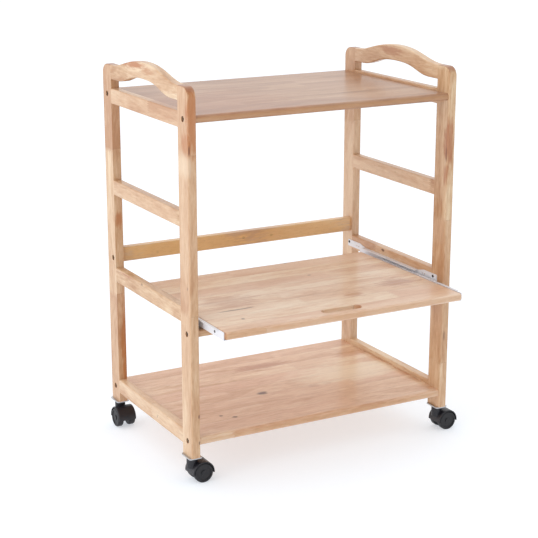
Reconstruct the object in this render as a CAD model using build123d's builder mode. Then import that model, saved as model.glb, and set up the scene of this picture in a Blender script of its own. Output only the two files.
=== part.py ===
"""Wooden microwave rack on casters: two flush side frames with camel-back handles, a fixed top
shelf and bottom shelf between them, and a pull-out shelf on roller slides, drawn partly out."""
import os

from build123d import *

os.makedirs("parts", exist_ok=True)

# Overall rack, with the floor at z = 0. Its height is that of the posts
rack_width = 600.0
rack_depth = 400.0
rack_height = 780.0
caster_height = 55.0

# Side frame timber
frame_thick = 18.0
post_depth = 42.0
rail_height = 31.0
post_corner = 20.0
edge_round = 2.5

# Handle: a flat-ended grip that rises in the middle
crest_rise = 23.0
crest_ease = 35.0
crest_ease_rise = 2.8
crest_shoulder = 60.0
crest_shoulder_rise = 17.5
grip_depth = 29.0
grip_rise = 19.5
grip_flat = 32.0
grip_shoulder = 60.0
grip_shoulder_rise = 14.0

# Boards
board_thick = 15.0
front_setback = 2.0
bullnose = 7.0
bottom_top_z = 94.0
slide_top_z = 332.5
top_shelf_drop = 53.0
rail_over_bottom = 11.5
rail_over_slide = 22.0
rail_over_top = 5.0
middle_rail_z = 526.5

# Cross rails
rear_rail_gap = 10.0
rear_rail_inset = 5.0
rear_rail_thick = 18.0
front_rail_thick = 14.0
front_rail_depth = 34.0
front_rail_gap = 4.5
front_rail_inset = 8.0
front_bolt_inset = 9.0
front_dowel_inset = 25.0
rear_pair_pitch = 12.0
shelf_dowel_pitch = 160.0

# Pull-out shelf
slide_gap = 12.5
slide_rear_gap = 16.0
slide_out = 87.0
slide_corner = 6.0
slide_round = 5.0
slot_length = 87.0
slot_width = 24.0
slot_inset = 30.0

# Roller slides
sheet = 1.2
runner_front_inset = 22.0
runner_rear_inset = 28.0
channel_height = 23.2
channel_depth = 10.1
channel_drop = 1.0
tab_rise = 5.0
tab_corner = 2.0
tab_ramp = 20.0
tab_front = 48.0
tab_rear = 50.0
tongue_rise = 13.2
tab_screw_drop = 5.5
tab_screw_front = 13.0
tab_screw_rear = 5.0
spare_hole_step = 31.0
spare_hole_pitch = 9.0
spare_hole_drop = 3.0
flange_width = 12.0
lip_width = 6.5
lip_start = 25.0
track_screw_inset = 6.0
track_screw_front = 40.0
track_screw_rear = 20.0
roller_radius = 6.6
roller_width = 6.8
roller_round = 0.8
roller_play = 0.2
roller_lift = 1.0
roller_gap = 0.2
roller_inset = 14.0
roller_rear_inset = 72.0
pin_radius = 2.5
pin_head_radius = 4.0
pin_head = 0.8
run_fit = 0.05

# Fasteners
dowel_radius = 3.0
dowel_hole = 16.0
dowel_pitch = 15.0
dowel_fit = 0.05
cross_dowel_in_frame = 9.0
bolt_radius = 3.0
bolt_fit = 0.25
bolt_head_radius = 5.2
bolt_head = 4.0
bolt_recess_radius = 5.6
bolt_recess = 6.0
bolt_reach = 46.0
bolt_end_gap = 2.0
socket_radius = 2.3
socket_depth = 2.6
nut_radius = 5.0
nut_length = 11.5
nut_inset = 34.0
screw_radius = 1.75
screw_length = 14.0
screw_head_radius = 2.8
screw_head = 1.4
screw_cover = 4.0

# Casters
plate_width = 28.0
plate_length = 39.0
plate_thick = 2.5
plate_corner = 4.0
plate_screw_pitch = 31.0
wheel_radius = 20.0
wheel_width = 13.0
wheel_gap = 0.5
wheel_face = 1.5
tread_round = 3.0
dish_inner = 5.9
dish_outer = 14.9
dish_depth = 1.2
web_half = 6.5
caster_trail = 17.0
fender_gap = 1.0
fender_thick = 2.5
fender_low = 18.0
fender_round = 2.0
boss_radius = 11.0
boss_low = 30.0
hub_radius = 7.8
kingpin_radius = 3.5
kingpin_low = 27.0
kingpin_end_gap = 1.0
collar_radius = 7.0
collar = 1.0
thrust_gap = 0.3
axle_radius = 3.0
axle_play = 0.3

# Places that follow from the sizes above
post_x = (rack_width - frame_thick) / 2
inner_x = rack_width / 2 - frame_thick
outer_x = rack_width / 2
front_y = -rack_depth / 2
rear_y = rack_depth / 2
post_y = (rack_depth - post_depth) / 2
rail_y = rack_depth / 2 - post_depth
slide_depth = rack_depth - slide_rear_gap
slide_front = front_y - slide_out
slide_rear = slide_front + slide_depth
hood_radius = wheel_radius + fender_gap + fender_thick
wheel_in = web_half + wheel_gap
wheel_out = wheel_in + wheel_width

# The origin is under the middle of the whole rack as it stands, shelf and casters included
centre_x = (wheel_out - caster_trail - hood_radius) / 2
centre_y = -(slide_front + rear_y) / 2

post_top = rack_height
crest_z = post_top + crest_rise
grip_end_z = post_top - grip_depth
grip_mid_z = grip_end_z + grip_rise
grip_centre_z = post_top - grip_depth / 2
top_top_z = post_top - top_shelf_drop
bottom_rail_z = bottom_top_z + rail_over_bottom - rail_height / 2
lower_rail_z = slide_top_z + rail_over_slide - rail_height / 2
top_rail_z = top_top_z + rail_over_top - rail_height / 2
rear_rail_z = lower_rail_z + rail_height + rear_rail_gap
rear_rail_y = rail_y + rear_rail_inset + rear_rail_thick / 2
front_rail_top = slide_top_z - board_thick - front_rail_gap
front_rail_z = front_rail_top - front_rail_thick / 2
front_rail_front = front_y + front_rail_inset
rails = {"top": top_rail_z, "middle": middle_rail_z, "lower": lower_rail_z, "bottom": bottom_rail_z}
joint_heights = list(rails.values()) + [grip_centre_z]
dowel_pair = (-dowel_pitch / 2, dowel_pitch / 2)
doweled_z = [z + d for z in joint_heights for d in dowel_pair]
top_mid_z = top_top_z - board_thick / 2
bottom_mid_z = bottom_top_z - board_thick / 2
slide_under_z = slide_top_z - board_thick

front_rail_bolt = (front_rail_front + front_bolt_inset, front_rail_z)
rear_rail_bolt = (rear_rail_y, rear_rail_z - rear_pair_pitch / 2)
front_bolts = [(-post_y, top_mid_z), front_rail_bolt, (-post_y, bottom_mid_z)]
rear_bolts = [(post_y, top_mid_z), rear_rail_bolt, (post_y, bottom_mid_z)]
shelf_dowels_y = [-shelf_dowel_pitch / 2, shelf_dowel_pitch / 2]
cross_dowels = [(y, z) for y in shelf_dowels_y for z in (top_mid_z, bottom_mid_z)]
cross_dowels.append((rear_rail_y, rear_rail_z + rear_pair_pitch / 2))
cross_dowels.append((front_rail_front + front_dowel_inset, front_rail_z))

slide_x = inner_x - slide_gap
channel_low = slide_under_z - sheet - channel_drop
track_z = channel_low + sheet
channel_top = channel_low + channel_height
rear_roller_z = track_z + roller_gap + roller_radius
front_roller_z = rear_roller_z + roller_lift
lip_z = front_roller_z + roller_radius + roller_gap
runner_rear = rear_y - runner_rear_inset
runner_front = front_y + runner_front_inset
front_roller_y = runner_front + roller_inset
rear_roller_y = slide_rear - roller_rear_inset
tab_top = channel_top + tab_rise
tongue_z = channel_low + tongue_rise
floor_rear = runner_rear - tab_rear
flange_rear = floor_rear - tab_ramp
flange_front = runner_front + tab_front + tab_ramp
runner_screw_z = tab_top - tab_screw_drop
runner_screws = [
    (runner_front + tab_screw_front, runner_screw_z),
    (runner_rear - tab_screw_rear, runner_screw_z),
]
slide_mid = (slide_front + slide_rear) / 2
shelf_screws_y = [slide_front + track_screw_front, slide_mid, rear_roller_y - track_screw_rear]
shelf_screw_x = slide_x - track_screw_inset
plate_screws = (-plate_screw_pitch / 2, plate_screw_pitch / 2)

casters = {
    "front_left": (-1, -1, (1, 0, 0)),
    "front_right": (1, -1, (1, 0, 0)),
    "rear_left": (-1, 1, (0, -1, 0)),
    "rear_right": (1, 1, (0, -1, 0)),
}


def at(x, y, z):
    """A point of the rack, measured from the middle of the side frames."""
    return (centre_x + x, centre_y + y, z)


def level(z):
    """A level plane, looking down."""
    return Plane(at(0, 0, z))


def upright(x):
    """A plane across the rack, with depth to its right and height up it, facing +X."""
    return Plane(at(x, 0, 0), x_dir=(0, 1, 0), z_dir=(1, 0, 0))


def section(y):
    """A plane facing the front, with width to its right and height up it."""
    return Plane(at(0, y, 0), x_dir=(1, 0, 0), z_dir=(0, -1, 0))


def bores(points, z_dir):
    """Drilling places: each point with the direction that its drill leaves by."""
    return [Plane(at(*p), z_dir=z_dir) for p in points]


# Side frames: posts, doweled rails and handles
for side, s in (("left", -1), ("right", 1)):
    for end, e, bolts in (("front", -1, front_bolts), ("rear", 1, rear_bolts)):
        with BuildPart() as post:
            with BuildSketch(upright(s * post_x)) as outline:
                with Locations((e * post_y, (caster_height + post_top) / 2)):
                    Rectangle(post_depth, post_top - caster_height)
                crown = outline.vertices().group_by(Axis.Y)[-1].sort_by(Axis.X)
                fillet(crown[0 if e < 0 else -1], post_corner)
            extrude(amount=frame_thick / 2, both=True)
            outer = post.edges().filter_by(Axis.Z).group_by(Axis.Y)[0 if e < 0 else -1]
            crest = post.edges().filter_by(Axis.Y).group_by(Axis.Z)[-1]
            fillet(outer + crest + post.edges().filter_by(GeomType.CIRCLE), edge_round)
            with Locations(bores([(s * outer_x, y, z) for y, z in bolts], (s, 0, 0))):
                CounterBoreHole(bolt_radius + bolt_fit, bolt_recess_radius, bolt_recess, frame_thick)
            doweled = [(s * post_x, e * rail_y, z) for z in doweled_z]
            with Locations(bores(doweled, (0, -e, 0))):
                Hole(dowel_radius + dowel_fit, dowel_hole)
            shared = [(y, z) for y, z in cross_dowels if abs(y - e * post_y) < post_depth / 2]
            pinned = [(s * inner_x, y, z) for y, z in shared]
            with Locations(bores(pinned, (-s, 0, 0))):
                Hole(dowel_radius + dowel_fit, cross_dowel_in_frame)
            screwed = [(s * inner_x, y, z) for y, z in runner_screws if y * e > 0]
            with Locations(bores(screwed, (-s, 0, 0))):
                Hole(screw_radius, screw_length)
            under = [(s * post_x, e * post_y + d, caster_height) for d in plate_screws]
            with Locations(bores(under, (0, 0, -1))):
                Hole(screw_radius, screw_length)
        post.part.label = f"{side}_{end}_post"
        export_step(post.part, f"parts/{side}_{end}_post.step")

    for place, z in rails.items():
        with BuildPart() as rail:
            with BuildSketch(section(rail_y)):
                with Locations((s * post_x, z)):
                    RectangleRounded(frame_thick, rail_height, edge_round)
            extrude(amount=2 * rail_y)
            for e in (-1, 1):
                ends = [(s * post_x, e * rail_y, z + d) for d in dowel_pair]
                with Locations(bores(ends, (0, e, 0))):
                    Hole(dowel_radius + dowel_fit, dowel_hole)
            shared = [(y, h) for y, h in cross_dowels if abs(h - z) < rail_height / 2 and abs(y) < rail_y]
            pinned = [(s * inner_x, y, h) for y, h in shared]
            if pinned:
                with Locations(bores(pinned, (-s, 0, 0))):
                    Hole(dowel_radius + dowel_fit, cross_dowel_in_frame)
        rail.part.label = f"{side}_{place}_rail"
        export_step(rail.part, f"parts/{side}_{place}_rail.step")

    with BuildPart() as handle:
        with BuildSketch(upright(s * post_x)):
            with BuildLine():
                shoulder = rail_y - grip_flat
                eased = (rail_y - crest_ease, post_top + crest_ease_rise)
                broad = (crest_shoulder, post_top + crest_shoulder_rise)
                Spline(
                    (-rail_y, post_top), (-eased[0], eased[1]), (-broad[0], broad[1]), (0, crest_z),
                    broad, eased, (rail_y, post_top),
                    tangents=[(1, 0), (1, 0)],
                )
                Line((rail_y, post_top), (rail_y, grip_end_z))
                Line((rail_y, grip_end_z), (shoulder, grip_end_z))
                arch = (grip_shoulder, grip_end_z + grip_shoulder_rise)
                Spline(
                    (shoulder, grip_end_z), arch, (0, grip_mid_z),
                    (-arch[0], arch[1]), (-shoulder, grip_end_z),
                    tangents=[(-1, 0), (-1, 0)],
                )
                Line((-shoulder, grip_end_z), (-rail_y, grip_end_z))
                Line((-rail_y, grip_end_z), (-rail_y, post_top))
            make_face()
        extrude(amount=frame_thick / 2, both=True)
        flanks = handle.faces().filter_by(Axis.X).edges()
        fillet(flanks - flanks.filter_by(Axis.Z), edge_round)
        for e in (-1, 1):
            ends = [(s * post_x, e * rail_y, grip_centre_z + d) for d in dowel_pair]
            with Locations(bores(ends, (0, e, 0))):
                Hole(dowel_radius + dowel_fit, dowel_hole)
    handle.part.label = f"{side}_handle"
    export_step(handle.part, f"parts/{side}_handle.step")

# Dowels glued into the side frames, along the depth
with BuildPart() as frame_dowels:
    for s in (-1, 1):
        for e in (-1, 1):
            with BuildSketch(section(e * rail_y - dowel_hole)):
                with Locations([(s * post_x, z) for z in doweled_z]):
                    Circle(dowel_radius)
            extrude(amount=-2 * dowel_hole)
frame_dowels.part.label = "frame_dowels"
export_step(frame_dowels.part, "parts/frame_dowels.step")

# Fixed shelves: boards that butt between the frames, bullnosed at the front
for place, top_z in (("top", top_top_z), ("bottom", bottom_top_z)):
    mid_z = top_z - board_thick / 2
    with BuildPart() as shelf:
        with BuildSketch(upright(-inner_x)) as edge:
            with Locations((front_setback / 2, mid_z)):
                Rectangle(rack_depth - front_setback, board_thick)
            fillet(edge.vertices().group_by(Axis.X)[0], bullnose)
            fillet(edge.vertices().group_by(Axis.X)[-1], edge_round)
        extrude(amount=2 * inner_x)
        for s in (-1, 1):
            with Locations(bores([(s * inner_x, y, mid_z) for y in (-post_y, post_y)], (s, 0, 0))):
                Hole(bolt_radius + bolt_fit, bolt_reach)
            with Locations(bores([(s * inner_x, y, mid_z) for y in shelf_dowels_y], (s, 0, 0))):
                Hole(dowel_radius + dowel_fit, dowel_hole)
            nuts = [(s * (inner_x - nut_inset), y, top_z - board_thick) for y in (-post_y, post_y)]
            with Locations(bores(nuts, (0, 0, -1))):
                Hole(nut_radius, (board_thick + nut_length) / 2)
    shelf.part.label = f"{place}_shelf"
    export_step(shelf.part, f"parts/{place}_shelf.step")

# Rear rail above the pull-out shelf, and the flat front rail under it
with BuildPart() as rear_rail:
    with BuildSketch(upright(-inner_x)):
        with Locations((rear_rail_y, rear_rail_z)):
            RectangleRounded(rear_rail_thick, rail_height, edge_round)
    extrude(amount=2 * inner_x)
    for s in (-1, 1):
        with Locations(bores([(s * inner_x, rear_rail_y, rear_bolts[1][1])], (s, 0, 0))):
            Hole(bolt_radius + bolt_fit, bolt_reach)
        with Locations(bores([(s * inner_x, *cross_dowels[-2])], (s, 0, 0))):
            Hole(dowel_radius + dowel_fit, dowel_hole)
        back = (s * (inner_x - nut_inset), rear_rail_y + rear_rail_thick / 2, rear_bolts[1][1])
        with Locations(bores([back], (0, 1, 0))):
            Hole(nut_radius, (rear_rail_thick + nut_length) / 2)
rear_rail.part.label = "rear_rail"
export_step(rear_rail.part, "parts/rear_rail.step")

with BuildPart() as front_rail:
    with BuildSketch(upright(-inner_x)):
        with Locations((front_rail_front + front_rail_depth / 2, front_rail_z)):
            RectangleRounded(front_rail_depth, front_rail_thick, edge_round)
    extrude(amount=2 * inner_x)
    for s in (-1, 1):
        with Locations(bores([(s * inner_x, *front_bolts[1])], (s, 0, 0))):
            Hole(bolt_radius + bolt_fit, bolt_reach)
        with Locations(bores([(s * inner_x, *cross_dowels[-1])], (s, 0, 0))):
            Hole(dowel_radius + dowel_fit, dowel_hole)
        under = (s * (inner_x - nut_inset), front_bolts[1][0], front_rail_z - front_rail_thick / 2)
        with Locations(bores([under], (0, 0, -1))):
            Hole(nut_radius, (front_rail_thick + nut_length) / 2)
front_rail.part.label = "front_rail"
export_step(front_rail.part, "parts/front_rail.step")

# Dowels between the frames and the boards, along the width
with BuildPart() as board_dowels:
    for s in (-1, 1):
        with BuildSketch(upright(s * (inner_x - dowel_hole))):
            with Locations(cross_dowels):
                Circle(dowel_radius)
        extrude(amount=s * (dowel_hole + cross_dowel_in_frame))
board_dowels.part.label = "board_dowels"
export_step(board_dowels.part, "parts/board_dowels.step")

# Socket-head connector bolts through the posts, and the barrel nuts that they pull on
with BuildPart() as connector_bolts:
    for s in (-1, 1):
        with BuildSketch(upright(s * (outer_x - bolt_recess))):
            with Locations(front_bolts + rear_bolts):
                Circle(bolt_head_radius)
        extrude(amount=s * bolt_head)
        with BuildSketch(upright(s * (outer_x - bolt_recess))):
            with Locations(front_bolts + rear_bolts):
                Circle(bolt_radius)
        extrude(amount=-s * (frame_thick - bolt_recess + bolt_reach - bolt_end_gap))
        with BuildSketch(upright(s * (outer_x - bolt_recess + bolt_head))):
            with Locations(front_bolts + rear_bolts):
                RegularPolygon(socket_radius, 6)
        extrude(amount=-s * socket_depth, mode=Mode.SUBTRACT)
connector_bolts.part.label = "connector_bolts"
export_step(connector_bolts.part, "parts/connector_bolts.step")

with BuildPart() as barrel_nuts:
    for s in (-1, 1):
        for y, z in (front_bolts[0], front_bolts[1], front_bolts[2], rear_bolts[0], rear_bolts[2]):
            with BuildSketch(level(z - nut_length / 2)):
                with Locations((s * (inner_x - nut_inset), y)):
                    Circle(nut_radius)
            extrude(amount=nut_length)
        with BuildSketch(section(rear_rail_y + nut_length / 2)):
            with Locations((s * (inner_x - nut_inset), rear_bolts[1][1])):
                Circle(nut_radius)
        extrude(amount=nut_length)
        with BuildSketch(upright(s * (inner_x - nut_inset))):
            with Locations(front_bolts + rear_bolts):
                Circle(bolt_radius)
        extrude(amount=2 * nut_radius, both=True, mode=Mode.SUBTRACT)
barrel_nuts.part.label = "barrel_nuts"
export_step(barrel_nuts.part, "parts/barrel_nuts.step")

# Pull-out shelf with a hand slot near its front edge
with BuildPart() as sliding_shelf:
    with BuildSketch(level(slide_under_z)) as plan:
        with Locations((0, slide_mid)):
            Rectangle(2 * slide_x, slide_depth)
        fillet(plan.vertices(), slide_corner)
        with Locations((0, slide_front + slot_inset)):
            SlotOverall(slot_length, slot_width, mode=Mode.SUBTRACT)
    extrude(amount=board_thick)
    broad = sliding_shelf.faces().filter_by(Axis.Z)
    rims = [face.outer_wire().edges() for face in broad]
    fillet(rims[0] + rims[1], slide_round)
    slots = [face.inner_wires()[0].edges() for face in sliding_shelf.faces().filter_by(Axis.Z)]
    fillet(slots[0] + slots[1], edge_round)
    for s in (-1, 1):
        under = [(s * shelf_screw_x, y, slide_under_z) for y in shelf_screws_y]
        with Locations(bores(under, (0, 0, -1))):
            Hole(screw_radius, board_thick - screw_cover)
sliding_shelf.part.label = "sliding_shelf"
export_step(sliding_shelf.part, "parts/sliding_shelf.step")

# Roller slides: a channel on the posts with a roller at its front end, and a stepped track under the
# shelf's edge with a roller at its rear end
for side, s in (("left", -1), ("right", 1)):
    with BuildPart() as channel:
        with BuildSketch(upright(s * inner_x)) as web:
            with BuildLine():
                Polyline(
                    (runner_front, channel_low), (floor_rear, channel_low), (floor_rear, tongue_z),
                    (runner_rear, tongue_z), (runner_rear, tab_top), (floor_rear, tab_top),
                    (flange_rear, channel_top), (flange_front, channel_top),
                    (runner_front + tab_front, tab_top), (runner_front, tab_top),
                    close=True,
                )
            make_face()
            fillet(web.vertices().group_by(Axis.Y)[-1], tab_corner)
        extrude(amount=-s * sheet)
        with BuildSketch(section(floor_rear)):
            with Locations((s * (inner_x - channel_depth / 2), channel_low + sheet / 2)):
                Rectangle(channel_depth, sheet)
        extrude(amount=floor_rear - runner_front)
        with BuildSketch(section(flange_rear)):
            with Locations((s * (inner_x - channel_depth / 2), channel_top - sheet / 2)):
                Rectangle(channel_depth, sheet)
        extrude(amount=flange_rear - flange_front)
        heel = channel.edges().filter_by(Axis.Y).group_by(Axis.Z)[0].sort_by(Axis.X)
        fillet(heel[-1 if s > 0 else 0], sheet)
        with Locations(bores([(s * (inner_x - sheet), y, z) for y, z in runner_screws], (-s, 0, 0))):
            Hole(screw_radius, sheet)
        steps = (spare_hole_step, spare_hole_step + spare_hole_pitch)
        ways = zip(runner_screws, (1, -1))
        spare = [(y + way * step, z - spare_hole_drop) for (y, z), way in ways for step in steps]
        with Locations(bores([(s * (inner_x - sheet), y, z) for y, z in spare], (-s, 0, 0))):
            Hole(screw_radius, sheet)
        with Locations(bores([(s * (inner_x - sheet), front_roller_y, front_roller_z)], (-s, 0, 0))):
            Hole(pin_radius, sheet)
    channel.part.label = f"{side}_channel"
    export_step(channel.part, f"parts/{side}_channel.step")

    with BuildPart() as track:
        track_length = rear_roller_y + roller_inset - slide_front - slide_corner
        with BuildSketch(section(rear_roller_y + roller_inset)):
            with Locations((s * (slide_x + sheet / 2), (slide_under_z - sheet + lip_z + sheet) / 2)):
                Rectangle(sheet, lip_z + 2 * sheet - slide_under_z)
            with Locations((s * (slide_x + sheet - flange_width / 2), slide_under_z - sheet / 2)):
                Rectangle(flange_width, sheet)
        extrude(amount=track_length)
        with BuildSketch(section(rear_roller_y + roller_inset)):
            with Locations((s * (slide_x + lip_width / 2), lip_z + sheet / 2)):
                Rectangle(lip_width, sheet)
        extrude(amount=rear_roller_y + roller_inset - slide_front - lip_start)
        under = [(s * shelf_screw_x, y, slide_under_z - sheet) for y in shelf_screws_y]
        with Locations(bores(under, (0, 0, -1))):
            Hole(screw_radius, sheet)
        with Locations(bores([(s * (slide_x + sheet), rear_roller_y, rear_roller_z)], (s, 0, 0))):
            Hole(pin_radius, sheet)
    track.part.label = f"{side}_track"
    export_step(track.part, f"parts/{side}_track.step")

    seats = (
        ("front", inner_x, -1, front_roller_y, front_roller_z),
        ("rear", slide_x, 1, rear_roller_y, rear_roller_z),
    )
    for end, root_x, way, y, z in seats:
        inboard = root_x + way * (2 * sheet + roller_play)
        with BuildPart() as roller:
            with BuildSketch(upright(s * inboard)):
                with Locations((y, z)):
                    Circle(roller_radius)
                    Circle(pin_radius + run_fit, mode=Mode.SUBTRACT)
            extrude(amount=s * way * roller_width)
            fillet(roller.edges().filter_by(GeomType.CIRCLE).group_by(SortBy.RADIUS)[-1], roller_round)
        roller.part.label = f"{side}_{end}_roller"
        export_step(roller.part, f"parts/{side}_{end}_roller.step")

# Roller pins, riveted into the channels and into the tracks
for end, root_x, way, y, z in seats:
    with BuildPart() as pins:
        for s in (-1, 1):
            reach = 2 * sheet + roller_width + 2 * roller_play
            with BuildSketch(upright(s * root_x)):
                with Locations((y, z)):
                    Circle(pin_radius)
            extrude(amount=s * way * (reach + pin_head))
            with BuildSketch(upright(s * (root_x + way * sheet))):
                with Locations((y, z)):
                    Circle(pin_head_radius)
            extrude(amount=s * way * sheet)
            with BuildSketch(upright(s * (root_x + way * reach))):
                with Locations((y, z)):
                    Circle(pin_head_radius)
            extrude(amount=s * way * pin_head)
    pins.part.label = f"{end}_roller_pins"
    export_step(pins.part, f"parts/{end}_roller_pins.step")

# Pan-head screws that hold the channels to the posts and the tracks to the shelf
with BuildPart() as channel_screws:
    for s in (-1, 1):
        with BuildSketch(upright(s * (inner_x - sheet))):
            with Locations(runner_screws):
                Circle(screw_radius)
        extrude(amount=s * (sheet + screw_length))
        with BuildSketch(upright(s * (inner_x - sheet))):
            with Locations(runner_screws):
                Circle(screw_head_radius)
        extrude(amount=-s * screw_head)
channel_screws.part.label = "channel_screws"
export_step(channel_screws.part, "parts/channel_screws.step")

with BuildPart() as track_screws:
    spots = [(s * shelf_screw_x, y) for s in (-1, 1) for y in shelf_screws_y]
    with BuildSketch(level(slide_under_z - sheet)):
        with Locations(spots):
            Circle(screw_radius)
    extrude(amount=sheet + board_thick - screw_cover)
    with BuildSketch(level(slide_under_z - sheet)):
        with Locations(spots):
            Circle(screw_head_radius)
    extrude(amount=-screw_head)
track_screws.part.label = "track_screws"
export_step(track_screws.part, "parts/track_screws.step")

# Casters: a screwed plate, a kingpin, and a hooded body with two wheels on one axle
plate_z = caster_height - plate_thick
boss_top = plate_z - collar - thrust_gap
axle_half = wheel_out - wheel_face - axle_play
for name, (s, e, trail) in casters.items():
    pivot = (s * post_x, e * post_y)
    axle_dir = (trail[1], -trail[0], 0)
    hub_at = (pivot[0] + caster_trail * trail[0], pivot[1] + caster_trail * trail[1], wheel_radius)
    profile = Plane(at(*pivot, 0), x_dir=trail, z_dir=axle_dir)

    with BuildPart() as plate:
        with BuildSketch(level(plate_z)):
            with Locations(pivot):
                RectangleRounded(plate_width, plate_length, plate_corner)
                Circle(kingpin_radius, mode=Mode.SUBTRACT)
                with GridLocations(0, plate_screw_pitch, 1, 2):
                    Circle(screw_radius, mode=Mode.SUBTRACT)
        extrude(amount=plate_thick)
    plate.part.label = f"{name}_plate"
    export_step(plate.part, f"parts/{name}_plate.step")

    with BuildPart() as hood:
        with BuildSketch(profile):
            with Locations((caster_trail, wheel_radius)):
                Circle(hood_radius)
            with Locations((caster_trail, fender_low - hood_radius)):
                Rectangle(4 * hood_radius, 2 * hood_radius, mode=Mode.SUBTRACT)
        extrude(amount=wheel_out, both=True)
        fillet(hood.edges().filter_by(GeomType.CIRCLE), fender_round)
        with BuildSketch(Plane(at(*pivot, boss_top), x_dir=trail)):
            Circle(boss_radius)
        extrude(amount=boss_low - boss_top)
        for way in (-1, 1):
            with BuildSketch(profile.offset(way * web_half)):
                with Locations((caster_trail, wheel_radius)):
                    Circle(wheel_radius + fender_gap)
            extrude(amount=way * wheel_out, mode=Mode.SUBTRACT)
        with BuildSketch(profile):
            with Locations((caster_trail, wheel_radius)):
                Circle(hub_radius)
        extrude(amount=web_half, both=True)
        with BuildSketch(profile):
            with Locations((caster_trail, wheel_radius)):
                Circle(axle_radius)
        extrude(amount=web_half, both=True, mode=Mode.SUBTRACT)
        with Locations(bores([(*pivot, boss_top)], (0, 0, 1))):
            Hole(kingpin_radius + run_fit, boss_top - kingpin_low + kingpin_end_gap)
    hood.part.label = f"{name}_hood"
    export_step(hood.part, f"parts/{name}_hood.step")

    with BuildPart() as axle:
        with BuildSketch(profile):
            with Locations((caster_trail, wheel_radius)):
                Circle(axle_radius)
        extrude(amount=axle_half, both=True)
    axle.part.label = f"{name}_axle"
    export_step(axle.part, f"parts/{name}_axle.step")

    for hand, way in (("a", -1), ("b", 1)):
        outward = tuple(way * d for d in axle_dir)
        spin = Plane(at(*hub_at), x_dir=outward, z_dir=tuple(-way * d for d in trail))
        with BuildPart() as wheel:
            with BuildSketch(spin) as half:
                with Locations(((wheel_in + wheel_out) / 2, wheel_radius / 2)):
                    Rectangle(wheel_width, wheel_radius)
                fillet(half.vertices().group_by(Axis.Y)[-1], tread_round)
                with Locations((wheel_out, (dish_inner + dish_outer) / 2)):
                    Rectangle(2 * dish_depth, dish_outer - dish_inner, mode=Mode.SUBTRACT)
                bore_length = axle_half + axle_play - wheel_in
                with Locations((wheel_in + bore_length / 2, 0)):
                    Rectangle(bore_length, 2 * (axle_radius + run_fit), mode=Mode.SUBTRACT)
            revolve(axis=Axis(at(*hub_at), axle_dir))
        wheel.part.label = f"{name}_wheel_{hand}"
        export_step(wheel.part, f"parts/{name}_wheel_{hand}.step")

with BuildPart() as kingpins:
    spots = [(s * post_x, e * post_y) for s, e, trail in casters.values()]
    with BuildSketch(level(kingpin_low)):
        with Locations(spots):
            Circle(kingpin_radius)
    extrude(amount=caster_height - kingpin_low)
    with BuildSketch(level(plate_z - collar)):
        with Locations(spots):
            Circle(collar_radius)
    extrude(amount=collar)
kingpins.part.label = "kingpins"
export_step(kingpins.part, "parts/kingpins.step")

with BuildPart() as caster_screws:
    spots = [(s * post_x, e * post_y + d) for s in (-1, 1) for e in (-1, 1) for d in plate_screws]
    with BuildSketch(level(plate_z)):
        with Locations(spots):
            Circle(screw_radius)
    extrude(amount=plate_thick + screw_length)
    with BuildSketch(level(plate_z)):
        with Locations(spots):
            Circle(screw_head_radius)
    extrude(amount=-screw_head)
caster_screws.part.label = "caster_screws"
export_step(caster_screws.part, "parts/caster_screws.step")
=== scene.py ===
"""Looks of a wooden microwave rack on casters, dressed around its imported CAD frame."""
import math

import bpy
import numpy as np
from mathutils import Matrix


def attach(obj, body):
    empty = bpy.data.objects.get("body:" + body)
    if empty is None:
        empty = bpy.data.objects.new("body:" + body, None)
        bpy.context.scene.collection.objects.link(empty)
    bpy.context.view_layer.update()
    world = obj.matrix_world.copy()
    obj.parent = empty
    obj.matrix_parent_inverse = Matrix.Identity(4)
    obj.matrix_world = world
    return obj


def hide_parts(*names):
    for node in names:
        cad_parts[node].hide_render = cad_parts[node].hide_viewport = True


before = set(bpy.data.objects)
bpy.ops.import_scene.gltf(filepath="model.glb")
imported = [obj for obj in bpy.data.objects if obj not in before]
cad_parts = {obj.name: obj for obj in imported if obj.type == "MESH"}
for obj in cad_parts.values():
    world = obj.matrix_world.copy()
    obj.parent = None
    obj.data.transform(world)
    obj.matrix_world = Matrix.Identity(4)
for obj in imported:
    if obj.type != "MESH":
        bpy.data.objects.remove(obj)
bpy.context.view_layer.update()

# Side frames. Two flush frames of pale rubberwood, glued up from finger-jointed lengths, with the
# rails and the camel-back handle doweled between the posts and all edges eased by a router.
# The timber has a satin lacquer, and its open pores show as short dark dashes along the grain.


def add(tree, kind, inputs, out=0, **settings):
    """One shader node: plain values go on its sockets, sockets are linked to them. Gives one output."""
    made = tree.nodes.new("ShaderNode" + kind)
    for key, value in settings.items():
        setattr(made, key, value)
    for key, value in inputs.items():
        if isinstance(value, bpy.types.NodeSocket):
            tree.links.new(value, made.inputs[key])
        else:
            made.inputs[key].default_value = value
    return made.outputs[out]


def calc(tree, operation, *values):
    """One sum on plain numbers or sockets."""
    return add(tree, "Math", dict(enumerate(values)), operation=operation)


def fade(tree, value, low, high, start=0.0, end=1.0):
    """A smooth step: start up to low, end from high on."""
    limits = {"Value": value, "From Min": low, "From Max": high, "To Min": start, "To Max": end}
    return add(tree, "MapRange", limits, interpolation_type="SMOOTHSTEP")


def blend(tree, amount, under, over):
    """Lays one colour over another by an amount from 0 to 1."""
    return add(tree, "Mix", {0: amount, 6: under, 7: over}, out=2, data_type="RGBA")


def paint(red, green, blue):
    """A colour given as it looks on a screen, from 0 to 255, as light values."""
    shown = np.array([red, green, blue]) / 255
    light = np.where(shown <= 0.04045, shown / 12.92, ((shown + 0.055) / 1.055) ** 2.4)
    return (*light.tolist(), 1.0)


def new_material(name):
    """An empty node material, its node tree and its shader."""
    material = bpy.data.materials.new(name)
    material.use_nodes = True
    shader = material.node_tree.nodes["Principled BSDF"]
    return material, material.node_tree, shader


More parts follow.
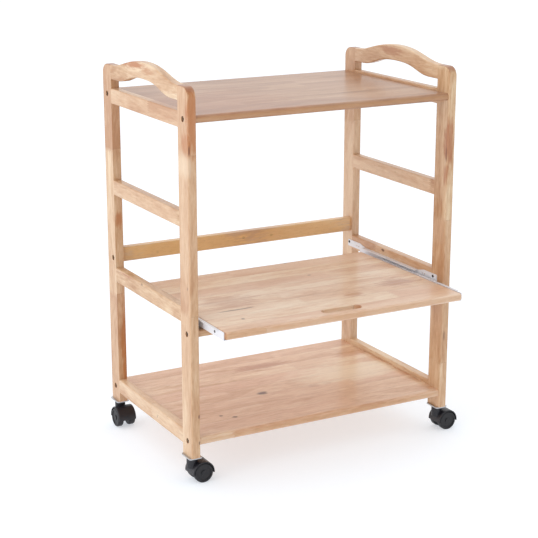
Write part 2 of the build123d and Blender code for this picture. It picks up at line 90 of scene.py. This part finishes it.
def dress(material, *names):
    """Gives CAD nodes a material in place of their plain colour."""
    for name in names:
        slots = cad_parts[name].data.materials
        slots.clear()
        slots.append(material)


# Tones are the deep, middle and pale wood and the pink that some lengths lean to.
frame_tones = (paint(178, 126, 78), paint(211, 174, 134), paint(234, 209, 174), paint(206, 158, 124))
# Browner end grain, and painted shade on faces that slope towards it.
end_grain_and_shade = paint(150, 82, 36)
wood_edge = paint(196, 146, 98)
wood_pore = paint(138, 90, 56)
wood_glue = paint(126, 82, 52)
mark_colours = {
    "knot": paint(88, 42, 14),
    "red": paint(166, 88, 38),
    "honey": paint(178, 100, 30),
    # Gold is partly painted light, lifting the shaded rear rail.
    "gold": paint(248, 206, 142),
    "pale": paint(246, 228, 200),
}
pink_share = 0.45
end_and_shade_share = 0.78
pore_share = 0.42
line_share = 0.4

# Noise scales are waves per metre along the grain and across it.
pore_scale = (55.0, 1500.0)
streak_scale = (40.0, 260.0)
band_scale = (5.0, 46.0)
figure_scale = (3.6, 17.0)
ring_count = 52.0
fresh_cut = (40.0, 40.0, 40.0)

# How far tone, figure, band, streak and rings change the warmth of plain lengths and of staves.
plain_weights = (0.5, 1.7, 1.1, 1.1, 0.07)
stave_weights = (0.22, 1.75, 0.45, 0.95, 0.06)

timber_length = 0.31
joint_spread = 9.0
finger_length = 0.010
finger_pitch = 0.0042
finger_line = 0.0006
glue_line = 0.0007
row_step = 0.37
seed_step = 3.7
mark_ragged = 1.3
mark_core = 1.7
mark_rim = 2.4
lacquer_roughness = 0.34
lacquer_drift = 0.16
coat_weight = 0.35
coat_roughness = 0.2
pore_relief = -0.8
line_relief = -0.6
relief_strength = 0.22
relief_depth = 0.0003


def marked(tree, place, layers, colour, kind, centre, reach, strength):
    """Lays a mark over the wood: an oval of so many reaches about its centre, with a rim that the
    grain's layers make ragged."""
    gap = add(tree, "VectorMath", {0: place, 1: centre}, operation="SUBTRACT")
    gap = add(tree, "VectorMath", {0: gap, 1: [1 / r for r in reach]}, operation="MULTIPLY")
    far = add(tree, "VectorMath", {0: gap}, out="Value", operation="LENGTH")
    for layer in layers:
        far = calc(tree, "MULTIPLY_ADD", layer, mark_ragged, far)
    near = fade(tree, far, mark_core, mark_rim, strength, 0.0)
    return blend(tree, near, colour, mark_colours[kind])


def rubberwood(
    name,
    grain,
    across,
    seed,
    tones=frame_tones,
    length=timber_length,
    stave=None,
    joint=None,
    lean=0.0,
    edge=0.0,
    marks=(),
):
    """Lacquered rubberwood on Object coordinates, with its grain along one axis. Lengths meet in a zigzag
    finger joint, staves meet in a straight glue line, and each piece of timber has a tone, a hue and a
    grain of its own. The rings are the level lines of a noise drawn out along the grain. End grain is
    browner, and so are a board's edges; the browning also reaches faces that slope towards the grain's
    ends, such as the handle's sloping top, as painted shade. Marks are ragged ovals of knot, red, honey,
    gold or pale colour, mostly the wood's own; the gold ones and the bottom shelf's pale one are partly
    painted light, and the top shelf's broad red one is painted shade."""
    material, tree, shader = new_material(name)
    place = add(tree, "TexCoord", {}, out="Object")
    split = [add(tree, "SeparateXYZ", {0: place}, out=i) for i in range(3)]
    facing = add(tree, "TexCoord", {}, out="Normal")
    along, side = split[grain], split[across]

    row_key = float(seed)
    if stave:
        row = calc(tree, "MULTIPLY_ADD", side, 1 / stave, row_step * seed)
        row_key = calc(tree, "ADD", calc(tree, "FLOOR", row), float(seed))
        row_edge = calc(tree, "PINGPONG", calc(tree, "FRACT", row), 0.5)
        glue = fade(tree, row_edge, 0.0, glue_line / stave, 1.0, 0.0)
    if joint is None:
        shift = add(tree, "TexWhiteNoise", {"W": row_key}, noise_dimensions="1D")
        shift = calc(tree, "MULTIPLY", shift, joint_spread)
    else:
        shift = -joint / length
    zigzag = calc(tree, "PINGPONG", side, finger_pitch / 2)
    slant = calc(tree, "MULTIPLY_ADD", zigzag, 2 * finger_length / finger_pitch, along)
    run = calc(tree, "MULTIPLY_ADD", slant, 1 / length, shift)
    run_edge = calc(tree, "PINGPONG", calc(tree, "FRACT", run), 0.5)
    lines = fade(tree, run_edge, 0.0, finger_line / length, 1.0, 0.0)
    key = add(tree, "CombineXYZ", {0: row_key, 1: calc(tree, "FLOOR", run), 2: seed_step * seed + 0.5})
    tone = add(tree, "TexWhiteNoise", {"Vector": key}, noise_dimensions="3D")
    stray = add(tree, "TexWhiteNoise", {"Vector": key}, out="Color", noise_dimensions="3D")
    offset = add(tree, "VectorMath", {0: stray, 1: fresh_cut}, operation="MULTIPLY")

    def grained(scale, detail, distortion):
        """Noise drawn out along the grain, cut afresh for each length of timber."""
        stretch = [scale[1]] * 3
        stretch[grain] = scale[0]
        spot = add(tree, "VectorMath", {0: place, 1: stretch, 2: offset}, operation="MULTIPLY_ADD")
        values = {"Vector": spot, "Scale": 1.0, "Detail": detail, "Roughness": 0.55, "Distortion": distortion}
        return add(tree, "TexNoise", values)

    figure = grained(figure_scale, detail=3.0, distortion=0.7)
    band = grained(band_scale, detail=2.0, distortion=0.4)
    streak = grained(streak_scale, detail=4.0, distortion=0.2)
    pores = fade(tree, grained(pore_scale, detail=1.0, distortion=0.0), 0.62, 0.74)
    rings = calc(tree, "SINE", calc(tree, "MULTIPLY", figure, ring_count))

    # The first four layers lie about one half and the rings about nought, so the middle is taken off.
    weights = stave_weights if stave else plain_weights
    warmth = 0.5 + lean - 0.5 * sum(weights[:4])
    for layer, weight in zip((tone, figure, band, streak, rings), weights):
        warmth = calc(tree, "MULTIPLY_ADD", layer, weight, warmth)
    deep, middle, pale, pink = tones
    colour = add(tree, "ValToRGB", {0: warmth})
    ramp = colour.node.color_ramp
    ramp.elements[0].color = deep
    ramp.elements[1].color = pale
    ramp.elements.new(0.5).color = middle
    hue = add(tree, "SeparateColor", {0: stray}, out="Green")
    colour = blend(tree, calc(tree, "MULTIPLY", hue, pink_share), colour, pink)
    for mark in marks:
        colour = marked(tree, place, (streak, band), colour, *mark)

    # End grain is browner. The fade starts well short of square end grain, so faces that slope towards the
    # grain's ends, such as the handle's sloping top, also darken: painted shade.
    ends = calc(tree, "ABSOLUTE", add(tree, "SeparateXYZ", {0: facing}, out=grain))
    colour = blend(tree, fade(tree, ends, 0.25, 0.85, 0.0, end_and_shade_share), colour, end_grain_and_shade)
    if edge:
        flat = calc(tree, "ABSOLUTE", add(tree, "SeparateXYZ", {0: facing}, out="Z"))
        colour = blend(tree, fade(tree, flat, 0.15, 0.85, edge, 0.0), colour, wood_edge)
    colour = blend(tree, calc(tree, "MULTIPLY", pores, pore_share), colour, wood_pore)
    if stave:
        lines = calc(tree, "MAXIMUM", lines, glue)
    colour = blend(tree, calc(tree, "MULTIPLY", lines, line_share), colour, wood_glue)
    tree.links.new(colour, shader.inputs["Base Color"])
    sheen = calc(tree, "MULTIPLY_ADD", streak, lacquer_drift, lacquer_roughness)
    tree.links.new(sheen, shader.inputs["Roughness"])
    shader.inputs["Coat Weight"].default_value = coat_weight
    shader.inputs["Coat Roughness"].default_value = coat_roughness
    relief = calc(tree, "MULTIPLY_ADD", pores, pore_relief, streak)
    relief = calc(tree, "MULTIPLY_ADD", lines, line_relief, relief)
    bump = add(tree, "Bump", {"Strength": relief_strength, "Distance": relief_depth, "Height": relief})
    tree.links.new(bump, shader.inputs["Normal"])
    return material


# A mark is its kind, its centre and its reach along x, y and z in metres, and its strength.
joints = {"left_front_post": 0.659, "right_front_post": 0.470}
# The left posts are darkened all over: partly their own tone, partly painted shade for the weaker light on
# their outer faces.
post_shade_leans = {"left_front_post": -0.08, "left_rear_post": -0.28}
left_outer = -0.310
left_rail_outer = -0.3103
right_inner = 0.2718
post_front = -0.1565
rear_post_front = 0.2015
frame_marks = {
    "left_front_post": [
        ("honey", (-0.300, post_front, 0.722), (0.014, 0.012, 0.075), 0.7),
        ("honey", (left_outer, -0.148, 0.672), (0.008, 0.020, 0.026), 0.6),
        ("pale", (left_outer, -0.136, 0.632), (0.008, 0.045, 0.026), 0.35),
        ("knot", (-0.308, -0.157, 0.6635), (0.002, 0.002, 0.010), 0.7),
        ("knot", (left_outer, -0.1454, 0.397), (0.002, 0.002, 0.004), 0.6),
        ("knot", (-0.2946, post_front, 0.140), (0.002, 0.002, 0.004), 0.7),
        ("knot", (-0.2944, post_front, 0.086), (0.002, 0.002, 0.004), 0.7),
    ],
    "left_rear_post": [
        ("honey", (-0.301, rear_post_front, 0.457), (0.012, 0.012, 0.020), 0.7),
        ("honey", (-0.2925, rear_post_front, 0.18), (0.012, 0.006, 0.16), 0.6),
    ],
    "right_front_post": [
        ("red", (0.2750, -0.154, 0.626), (0.013, 0.015, 0.060), 0.65),
        ("red", (right_inner, -0.152, 0.560), (0.006, 0.009, 0.030), 0.55),
        ("knot", (right_inner, -0.1528, 0.600), (0.003, 0.003, 0.020), 0.5),
        ("knot", (0.279, post_front, 0.215), (0.003, 0.003, 0.012), 0.5),
    ],
    "left_handle": [
        ("honey", (left_outer, 0.085, 0.797), (0.018, 0.075, 0.013), 0.85),
        ("honey", (left_outer, 0.020, 0.790), (0.012, 0.030, 0.010), 0.4),
    ],
    "right_handle": [("red", (right_inner, 0.060, 0.790), (0.010, 0.050, 0.012), 0.45)],
    "left_lower_rail": [
        ("knot", (left_rail_outer, 0.0686, 0.352), (0.003, 0.006, 0.003), 0.7),
        ("red", (left_rail_outer, 0.150, 0.351), (0.003, 0.045, 0.003), 0.6),
    ],
    "right_lower_rail": [("knot", (right_inner, 0.0727, 0.349), (0.003, 0.006, 0.003), 0.85)],
    "left_bottom_rail": [("knot", (left_rail_outer, 0.0061, 0.089), (0.003, 0.002, 0.005), 0.8)],
    "right_bottom_rail": [("honey", (right_inner, 0.040, 0.090), (0.006, 0.150, 0.012), 0.45)],
}
width_axis, depth_axis, height_axis = 0, 1, 2
for seed, side in ((3, "left"), (11, "right")):
    posts = [f"{side}_{end}_post" for end in ("front", "rear")]
    rails = [f"{side}_{level}_rail" for level in ("top", "middle", "lower", "bottom")]
    timbers = [(post, height_axis, depth_axis) for post in posts]
    timbers += [(rail, depth_axis, height_axis) for rail in (*rails, f"{side}_handle")]
    for step, (piece, grain, across) in enumerate(timbers):
        joint, lean, marks = joints.get(piece), post_shade_leans.get(piece, 0.0), frame_marks.get(piece, ())
        timber = rubberwood(piece + "_wood", grain, across, seed + step, joint=joint, lean=lean, marks=marks)
        dress(timber, piece)

# Fixed shelves and cross rails. The shelves are edge-glued boards of rubberwood staves along the
# width, with a rounded front edge, and the two cross rails are plain lengths between the frames.
# The top shelf's tones are darker and pinker, partly its own wood and partly painted shade for the dimmer
# light on its top, and the lower shelves' tones are paler, partly painted light.

# Darker top tones: partly painted shade. Paler lower-shelf tones: partly painted light.
top_shaded_tones = (paint(138, 94, 62), paint(173, 129, 95), paint(198, 160, 126), paint(172, 126, 98))
lower_shelf_lit_tones = (paint(196, 146, 104), paint(228, 192, 158), paint(246, 226, 200), paint(220, 172, 144))
shelf_stave = 0.048
shelf_edge = 0.5
rail_length = 0.5
bottom_face = 0.094
bottom_marks = [
    ("knot", (-0.066, 0.0101, bottom_face), (0.013, 0.008, 0.003), 0.95),
    ("knot", (-0.2018, -0.0653, bottom_face), (0.005, 0.005, 0.003), 0.8),
    ("knot", (-0.1793, -0.0834, bottom_face), (0.006, 0.005, 0.003), 0.8),
    ("red", (0.0534, -0.003, bottom_face), (0.014, 0.010, 0.01), 0.35),
    ("red", (0.0878, -0.002, bottom_face), (0.012, 0.008, 0.01), 0.35),
    ("red", (0.012, 0.160, bottom_face), (0.075, 0.018, 0.01), 0.5),
    ("honey", (0.235, 0.140, bottom_face), (0.05, 0.02, 0.01), 0.4),
    ("honey", (-0.20, -0.01, bottom_face), (0.24, 0.20, 0.03), 0.13),
    # A broad pale patch on the bottom shelf's right: painted light, where the shelves above shade it less.
    ("pale", (0.17, 0.045, bottom_face), (0.14, 0.08, 0.01), 0.75),
]
# A broad red patch dulls the top shelf's left half: painted shade.
top_shade_marks = [("red", (-0.22, -0.04, 0.727), (0.24, 0.18, 0.02), 0.3)]
rear_rail_face = 0.2065
rear_rail_marks = [
    ("knot", (-0.2122, rear_rail_face, 0.3749), (0.004, 0.003, 0.003), 0.8),
    ("knot", (-0.0056, rear_rail_face, 0.382), (0.004, 0.003, 0.003), 0.8),
    ("knot", (0.0638, rear_rail_face, 0.3792), (0.004, 0.003, 0.003), 0.8),
    # Two broad gold ovals over the rail's face: partly its own golden tone, partly painted light that lifts
    # it out of the shade it sits in.
    ("gold", (-0.15, rear_rail_face, 0.380), (0.17, 0.03, 0.04), 0.7),
    ("gold", (0.16, rear_rail_face, 0.380), (0.16, 0.03, 0.04), 0.6),
]


def board(name, seed, tones, length, lean, marks):
    """An edge-glued shelf of staves along the width, browner on its edges."""
    return rubberwood(
        name,
        width_axis,
        depth_axis,
        seed,
        tones,
        length,
        stave=shelf_stave,
        lean=lean,
        edge=shelf_edge,
        marks=marks,
    )


top_wood = board("top_shelf_wood", 21, top_shaded_tones, length=0.66, lean=0.0, marks=top_shade_marks)
bottom_wood = board("bottom_shelf_wood", 24, lower_shelf_lit_tones, length=0.7, lean=-0.04, marks=bottom_marks)
rear_rail_wood = rubberwood(
    "rear_rail_wood", width_axis, height_axis, 27, length=rail_length, marks=rear_rail_marks
)
front_rail_wood = rubberwood("front_rail_wood", width_axis, depth_axis, 28, length=rail_length)
dress(top_wood, "top_shelf")
dress(bottom_wood, "bottom_shelf")
dress(rear_rail_wood, "rear_rail")
dress(front_rail_wood, "front_rail")

# Dowels, bolts and barrel nuts. Beech dowels sit hidden in the joints. Zinc-plated socket bolts stand
# in counterbores in the posts' outer faces and pull on barrel nuts inside the boards.

plate_cloud = 420.0
plate_dull = 0.72
plate_drift = 0.2


def dimmed(colour, share):
    """A share of a colour's light."""
    return tuple(share * c for c in colour[:3]) + (1.0,)


def plated(name, colour, roughness):
    """Bright plated steel: a metal whose tint and gloss drift a little over a few millimetres."""
    material, tree, shader = new_material(name)
    place = add(tree, "TexCoord", {}, out="Object")
    cloud = add(tree, "TexNoise", {"Vector": place, "Scale": plate_cloud, "Detail": 3.0})
    tint = blend(tree, cloud, dimmed(colour, plate_dull), colour)
    tree.links.new(tint, shader.inputs["Base Color"])
    gloss = calc(tree, "MULTIPLY_ADD", cloud, plate_drift, roughness - plate_drift / 2)
    tree.links.new(gloss, shader.inputs["Roughness"])
    shader.inputs["Metallic"].default_value = 1.0
    return material


dowel_wood = rubberwood("dowel_wood", depth_axis, height_axis, 31)
zinc = plated("zinc_plate", paint(205, 205, 208), roughness=0.34)
bolt_steel = plated("bolt_steel", paint(142, 128, 114), roughness=0.38)
dress(dowel_wood, "frame_dowels", "board_dowels")
dress(bolt_steel, "connector_bolts")
dress(zinc, "barrel_nuts")

# Pull-out shelf. The same edge-glued board with rounded edges all round and a hand slot cut through
# it behind the front edge.

slide_face = 0.3325
slide_marks = [
    ("red", (0.190, -0.104, slide_face), (0.050, 0.032, 0.01), 0.5),
    ("red", (-0.185, -0.070, slide_face), (0.070, 0.045, 0.01), 0.32),
    ("knot", (-0.194, -0.121, slide_face), (0.040, 0.0035, 0.003), 0.6),
    ("knot", (-0.2096, -0.1786, slide_face), (0.005, 0.005, 0.003), 0.75),
    ("knot", (0.0562, 0.026, slide_face), (0.006, 0.004, 0.003), 0.65),
    ("knot", (0.0577, 0.1352, slide_face), (0.005, 0.005, 0.003), 0.6),
    ("honey", (0.062, -0.142, slide_face), (0.03, 0.015, 0.01), 0.5),
]
slide_wood = board("sliding_shelf_wood", 33, lower_shelf_lit_tones, length=0.62, lean=0.14, marks=slide_marks)
dress(slide_wood, "sliding_shelf")

# Roller slides. Pressed steel with a white epoxy coat: a channel screwed to the posts and a track
# under the shelf's edge, each with a white nylon roller on a riveted pin. Pan-head screws with a cross
# recess stand for the plain-headed ones, and one more sits low in each track's outer web.

skin_shade = 0.86
skin_drift = 0.16
skin_strength = 0.3


def moulded(name, colour, roughness, grain, depth):
    """A coat or moulding of one colour, with a fine bumpy skin and a gloss that drifts with it."""
    material, tree, shader = new_material(name)
    place = add(tree, "TexCoord", {}, out="Object")
    skin = add(tree, "TexNoise", {"Vector": place, "Scale": grain, "Detail": 2.0})
    tint = blend(tree, skin, dimmed(colour, skin_shade), colour)
    tree.links.new(tint, shader.inputs["Base Color"])
    gloss = calc(tree, "MULTIPLY_ADD", skin, skin_drift, roughness - skin_drift / 2)
    tree.links.new(gloss, shader.inputs["Roughness"])
    bump = add(tree, "Bump", {"Strength": skin_strength, "Distance": depth, "Height": skin})
    tree.links.new(bump, shader.inputs["Normal"])
    return material


epoxy = moulded("white_epoxy", paint(236, 236, 241), roughness=0.34, grain=900.0, depth=0.00006)
nylon = moulded("white_nylon", paint(236, 236, 232), roughness=0.42, grain=1400.0, depth=0.00003)
dark_steel = plated("dark_steel", paint(70, 66, 66), roughness=0.4)
for side in ("left", "right"):
    dress(epoxy, f"{side}_channel", f"{side}_track")
    dress(nylon, f"{side}_front_roller", f"{side}_rear_roller")
dress(zinc, "front_roller_pins", "rear_roller_pins")

screw_turns = 64
screw_head = 0.0028
screw_shank = 0.00175
tip_share = 0.3
tip_length = 0.0012
crown_rings = 18
crown_fall = 0.35
rim_share = 0.5
recess_reach = 0.0017
recess_half = 0.00034
recess_depth = 0.0009
recess_wall = 0.0001
recess_fade = 0.0006
sharp_edge = math.radians(35)


def pan_screws(name, material, body, spots, rise, length):
    """Pan-head screws, each a profile turned about its own axis. The head falls away with the square of the
    radius to a short upright rim, and the shank ends in a blunt cone. Two crossed slots sink into the head:
    full depth within half a slot's width of either arm, fading to nothing towards the arms' ends.
    A spot is the place under the middle of the head, and the way that the head faces."""
    crown = np.linspace(0.05, 0.93, crown_rings) * screw_head
    dome = rise * (1 - crown_fall * (crown / screw_head) ** 2)
    rim_to_tip = [screw_head, screw_head, screw_shank, screw_shank, tip_share * screw_shank]
    radii = np.append(crown, rim_to_tip)
    heights = np.append(dome, [rim_share * rise, 0.0, 0.0, tip_length - length, -length])
    turn = np.arange(screw_turns) * 2 * math.pi / screw_turns
    radius, angle = np.meshgrid(radii, turn, indexing="ij")
    aside = radius * np.minimum(abs(np.cos(angle)), abs(np.sin(angle)))
    sunk = np.clip((recess_half - aside) / recess_wall + 0.5, 0, 1)
    sunk *= np.clip((recess_reach - radius) / recess_fade, 0, 1)
    sunk[crown_rings:] = 0
    height = heights[:, None] - recess_depth * sunk

    ring = 1 + np.arange(radius.size).reshape(radius.shape)
    ahead = np.roll(ring, -1, axis=1)
    top, bottom = np.zeros_like(turn, int), np.full_like(turn, radius.size + 1, int)
    head_fan = np.stack([top, ring[0], ahead[0]], axis=-1)
    tip_fan = np.stack([bottom, ahead[-1], ring[-1]], axis=-1)
    quads = np.stack([ring[:-1], ring[1:], ahead[1:], ahead[:-1]], axis=-1).reshape(-1, 4)
    points, faces = [], []
    for place, facing in spots:
        w, u = np.array(facing, float), np.array([0.0, 1.0, 0.0])
        v = np.cross(w, u)
        turned = radius[..., None] * (np.cos(angle)[..., None] * u + np.sin(angle)[..., None] * v)
        skin = (turned + height[..., None] * w).reshape(-1, 3)
        first = len(points)
        points += (np.vstack([(rise - recess_depth) * w, skin, -length * w]) + place).tolist()
        for patch in (head_fan, tip_fan, quads):
            faces += (patch + first).tolist()
    mesh = bpy.data.meshes.new(name)
    mesh.from_pydata(points, [], faces)
    mesh.shade_smooth()
    mesh.set_sharp_from_angle(angle=sharp_edge)
    mesh.materials.append(material)
    piece = bpy.data.objects.new(name, mesh)
    bpy.context.scene.collection.objects.link(piece)
    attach(piece, body)
    return piece


pan_rise = 0.0014
tab_height = 0.338
tab_rows = (-0.1215, 0.2105)
tab_faces = ((-0.29105, 1), (0.27055, -1))
tabs = [((x, y, tab_height), (way, 0, 0)) for x, way in tab_faces for y in tab_rows]
channel_screws = pan_screws("channel_pan_screws", dark_steel, "rack", tabs, pan_rise, length=0.0152)
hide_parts("channel_screws")

flange_under = 0.3163
flange_lines = (-0.27375, 0.25325)
flange_rows = (-0.2035, -0.0515, 0.0485)
flanges = [((x, y, flange_under), (0, 0, -1)) for x in flange_lines for y in flange_rows]
track_screws = pan_screws("track_pan_screws", zinc, "pull_out_shelf", flanges, pan_rise, length=0.0122)
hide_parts("track_screws")

web_rise = 0.0005
web_spot = (-0.2005, 0.3243)
web_faces = ((-0.28095, -1), (0.26045, 1))
webs = [((x, *web_spot), (way, 0, 0)) for x, way in web_faces]
pan_screws("track_web_screws", dark_steel, "pull_out_shelf", webs, web_rise, length=0.0100)

# Casters. A zinc plate screwed under each post carries a kingpin, on which a black nylon hood swivels
# with a steel axle and two black wheels.

hood_black = moulded("black_nylon", paint(31, 29, 36), roughness=0.4, grain=1100.0, depth=0.00006)
tread_black = moulded("black_tread", paint(26, 25, 30), roughness=0.48, grain=700.0, depth=0.00005)
for corner in ("front_left", "front_right", "rear_left", "rear_right"):
    dress(zinc, f"{corner}_plate", f"{corner}_axle")
    dress(hood_black, f"{corner}_hood")
    dress(tread_black, f"{corner}_wheel_a", f"{corner}_wheel_b")
dress(zinc, "kingpins")

plate_under = 0.0525
plate_lines = (-0.30125, 0.28075)
plate_rows = (-0.151, -0.120, 0.207, 0.238)
plates = [((x, y, plate_under), (0, 0, -1)) for x in plate_lines for y in plate_rows]
caster_screws = pan_screws("caster_pan_screws", zinc, "rack", plates, pan_rise, length=0.0165)
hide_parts("caster_screws")

# Studio. A white floor that glows like a lit table and runs to the horizon, a surround that is brighter
# overhead and dimmer towards the front, and one broad soft light from the left.

floor_half = 30
floor_corners = [(x * floor_half, y * floor_half, 0) for x, y in ((-1, -1), (1, -1), (1, 1), (-1, 1))]
floor_mesh = bpy.data.meshes.new("floor")
floor_mesh.from_pydata(floor_corners, [], [(0, 1, 2, 3)])
floor = bpy.data.objects.new("floor", floor_mesh)
bpy.context.scene.collection.objects.link(floor)
floor_white, _, floor_shader = new_material("floor_white")
floor_shader.inputs["Base Color"].default_value = (0.57, 0.60, 0.63, 1.0)
floor_shader.inputs["Roughness"].default_value = 0.9
floor_shader.inputs["Specular IOR Level"].default_value = 0.0
floor_shader.inputs["Emission Color"].default_value = (0.92, 0.95, 1.0, 1.0)
floor_shader.inputs["Emission Strength"].default_value = 0.51
floor_mesh.materials.append(floor_white)

world = bpy.data.worlds.new("studio")
world.use_nodes = True
sky = world.node_tree
way = add(sky, "TexCoord", {})
upward = add(sky, "SeparateXYZ", {0: way}, out="Z")
backward = add(sky, "SeparateXYZ", {0: way}, out="Y")
overhead = fade(sky, upward, 0.0, 0.9, 1.0, 1.25)
behind = fade(sky, backward, -0.9, 0.2, 0.6, 1.0)
sky.links.new(calc(sky, "MULTIPLY", overhead, behind), sky.nodes["Background"].inputs["Strength"])
sky.nodes["Background"].inputs["Color"].default_value = (1.0, 1.0, 1.0, 1.0)
bpy.context.scene.world = world

key_place = (-3.2, -0.9, 1.2)
key_target = (0.0, 0.0, 0.4)
key_data = bpy.data.lights.new("key_light", "AREA")
key_data.energy = 24.0
key_data.size = 2.2
key_light = bpy.data.objects.new("key_light", key_data)
aim = np.array(key_target) - np.array(key_place)
aim_level = math.hypot(aim[0], aim[1])
key_light.location = key_place
key_light.rotation_euler = (math.atan2(aim_level, -aim[2]), 0.0, math.atan2(-aim[0], aim[1]))
bpy.context.scene.collection.objects.link(key_light)

photo_size = 538
focal_pixels = 1450.0
sensor_width = 36.0
azimuth, elevation = math.radians(-28.712), math.radians(15.517)
camera_data = bpy.data.cameras.new("camera")
camera_data.sensor_width = sensor_width
camera_data.lens = sensor_width * focal_pixels / photo_size
camera_data.clip_end = 100.0
camera = bpy.data.objects.new("camera", camera_data)
camera.location = (-1.4372, -2.5235, 1.166)
camera.rotation_euler = (math.pi / 2 - elevation, 0.0, azimuth)
bpy.context.scene.collection.objects.link(camera)
bpy.context.scene.camera = camera
bpy.context.scene.view_settings.view_transform = "Standard"
